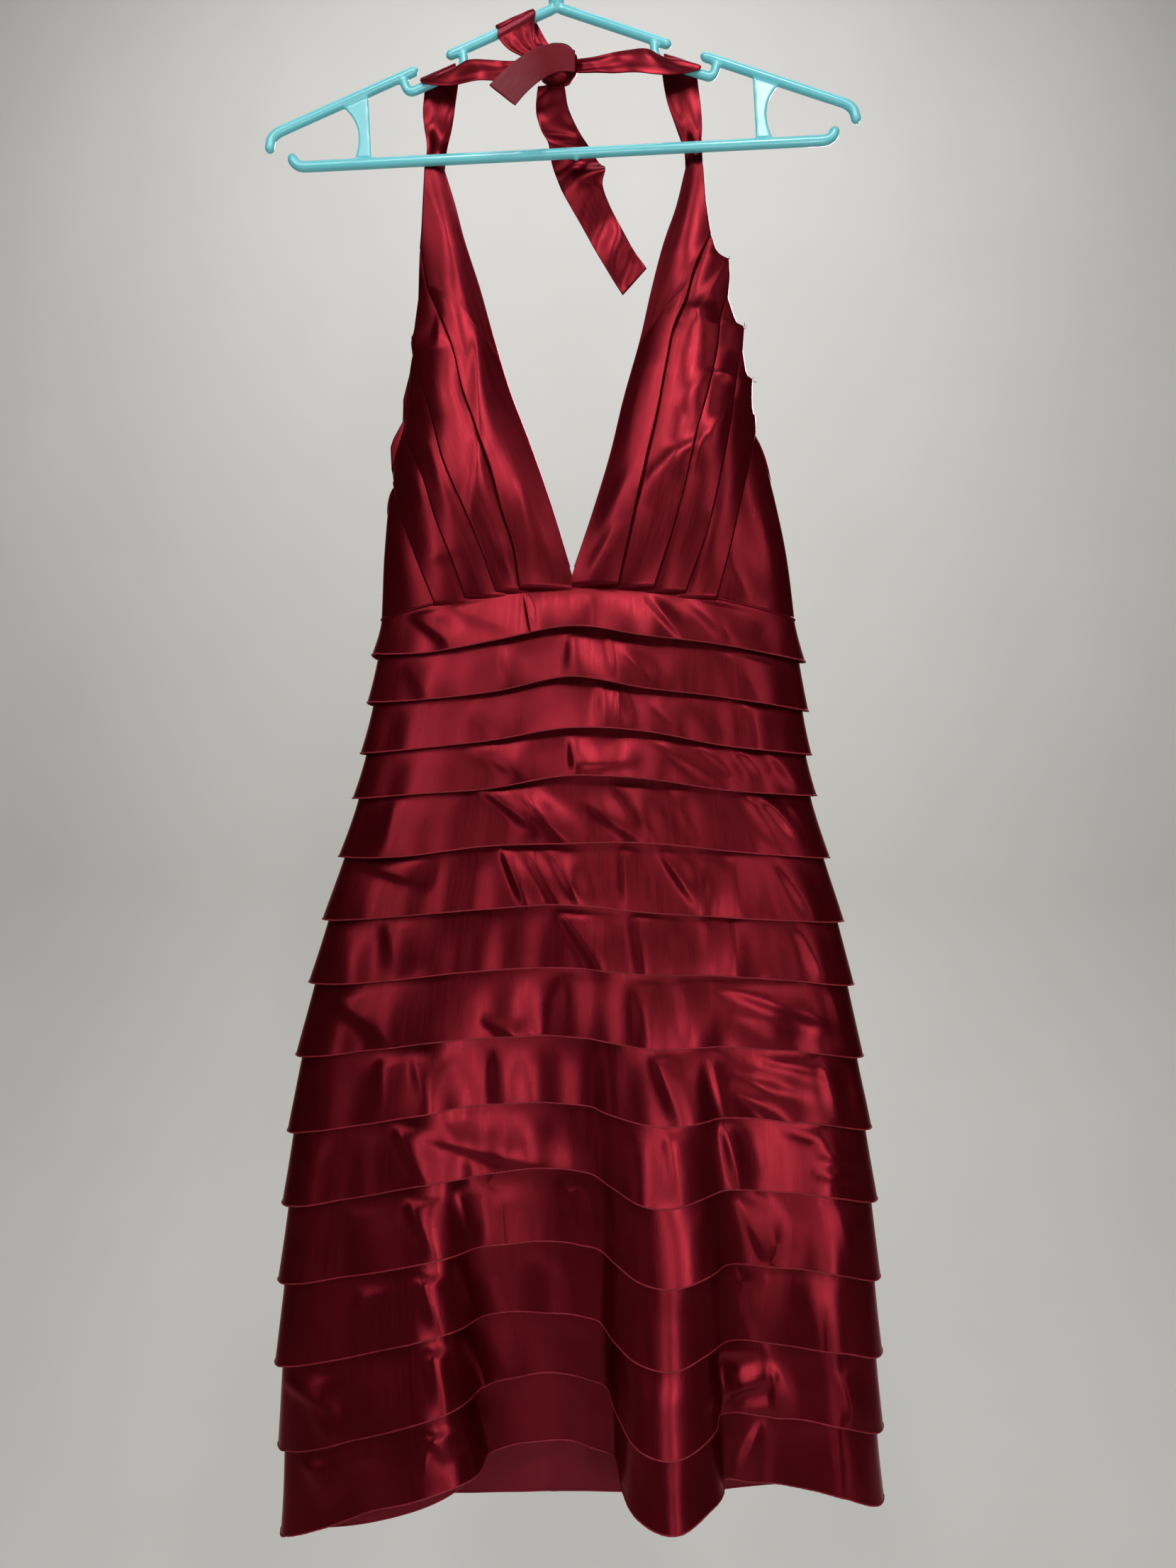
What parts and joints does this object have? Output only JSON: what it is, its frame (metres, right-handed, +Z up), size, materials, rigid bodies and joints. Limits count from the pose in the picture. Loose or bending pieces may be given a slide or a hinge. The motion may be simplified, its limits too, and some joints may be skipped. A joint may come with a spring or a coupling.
{
  "type": "cocktail dress on a hanger",
  "caption": "Halter-neck cocktail dress with pleated cups and a skirt of overlapping satin bands, hung by its knotted straps on a moulded plastic hanger.",
  "frame": {"origin": "the point inside the top of the hanger's hook that rests on a rail", "axes": "+Z up, the dress hangs down along -Z; the front faces -Y; +X to the right of someone who looks at the front"},
  "size_m": [0.4406, 0.1306, 1.1568],
  "materials": {
    "satin": "deep red satin, glossy along its folds",
    "lining": "dull dark red back of the satin",
    "hanger_plastic": "glossy light turquoise moulding"
  },
  "bodies": {
    "root": {"arm_loop": "satin", "band_01_back": "satin", "band_01_front": "satin", "band_02_back": "satin", "band_02_front": "satin", "band_03_back": "satin", "band_03_front": "satin", "band_04_back": "satin", "band_04_front": "satin", "band_05_back": "satin", "band_05_front": "satin", "band_06_back": "satin", "band_06_front": "satin", "band_07_back": "satin", "band_07_front": "satin", "band_08_back": "satin", "band_08_front": "satin", "band_09_back": "satin", "band_09_front": "satin", "band_10_back": "satin", "band_10_front": "satin", "band_11_back": "satin", "band_11_front": "satin", "band_12_back": "satin", "band_12_front": "satin", "band_13_back": "satin", "band_13_front": "satin", "cup_left": "satin", "cup_right": "satin", "hanger_bar": "hanger_plastic", "hanger_hook": "hanger_plastic", "hanger_notch_left": "hanger_plastic", "hanger_notch_right": "hanger_plastic", "hanger_outer_arm_left": "hanger_plastic", "hanger_outer_arm_right": "hanger_plastic", "hanger_plate_left": "hanger_plastic", "hanger_plate_right": "hanger_plastic", "hanger_upper_arm_left": "hanger_plastic", "hanger_upper_arm_right": "hanger_plastic", "knot": "satin", "lining_back": "lining", "lining_front": "lining", "side_panel_left": "satin", "side_panel_right": "satin", "strap_left": "satin", "strap_right": "satin", "tail_long": "satin", "tail_short": "satin", "waistband_back": "satin", "waistband_front": "satin"}
  },
  "joints": []
}
